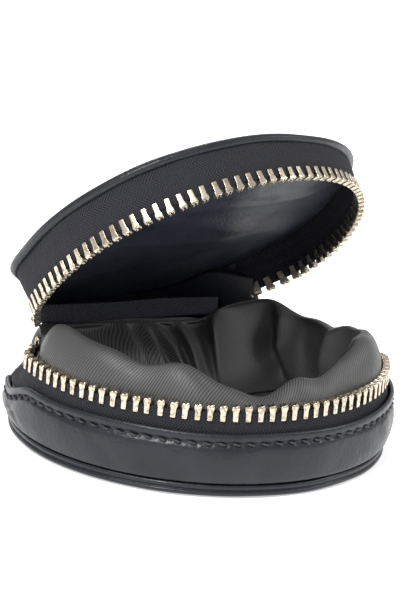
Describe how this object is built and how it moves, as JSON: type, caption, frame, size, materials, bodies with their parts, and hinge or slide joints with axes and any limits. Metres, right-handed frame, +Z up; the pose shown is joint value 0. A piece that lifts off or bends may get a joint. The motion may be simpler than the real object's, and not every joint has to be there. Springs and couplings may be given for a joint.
{
  "type": "coin purse",
  "caption": "Round leather coin purse, zip undone and lid raised on its soft hinge, with metal teeth, twill tapes and a gathered satin lining bag.",
  "frame": {"origin": "centre of the flat leather underside, on the surface that the purse rests on", "axes": "+Z up, +Y towards the soft hinge at the back, +X towards the side where the zip slider is parked"},
  "size_m": [0.0854, 0.0876, 0.0725],
  "materials": {
    "leather": "smooth nappa, soft sheen",
    "lid_leather": "fine-grained thin leather lining",
    "thread": "waxed black thread",
    "zip_tape": "black twill zip tape",
    "lining": "grey satin twill",
    "zip_metal": "pale champagne-gold plating",
    "slider_metal": "pale champagne-gold plating",
    "board": "pressed fibre board",
    "foam": "thin bonded foam"
  },
  "bodies": {
    "base": {"base_panel": "leather", "base_welt": "leather", "base_board": "board", "side_band": "leather", "band_padding": "foam", "band_stitching": "thread", "lower_zip_tape": "zip_tape", "lower_zip_teeth": "zip_metal", "bottom_stop": "zip_metal", "lower_top_stop": "zip_metal", "lining_floor": "lining", "lining_wall": "lining", "hinge_panel": "leather", "hinge_binding": "zip_tape"},
    "lid": {"lid_welt": "leather", "lid_lining": "lid_leather", "lid_board": "board", "lid_panel": "leather", "upper_zip_tape": "zip_tape", "upper_zip_teeth": "zip_metal", "upper_top_stop": "zip_metal"},
    "slider": {"slider_body": "slider_metal", "slider_bridge": "slider_metal"},
    "pull": {"pull_tab": "slider_metal"}
  },
  "joints": [
    {"name": "lid_hinge", "type": "hinge", "parent": "base", "child": "lid", "pos_m": [0, 0.02, 0.0207], "axis": [-1, 0, 0], "range_deg": [-43, 10], "deforming": ["hinge_panel", "hinge_binding", "lining_wall"]},
    {"name": "slider_travel", "type": "hinge", "parent": "base", "child": "slider", "pos_m": [0, 0, 0.0207], "axis": [0, 0, -1], "range_deg": [0, 234]},
    {"name": "pull_swing", "type": "hinge", "parent": "slider", "child": "pull", "pos_m": [0.03444, 0.0269, 0.0196], "axis": [0.6157, -0.788, 0], "range_deg": [0, 95]}
  ]
}
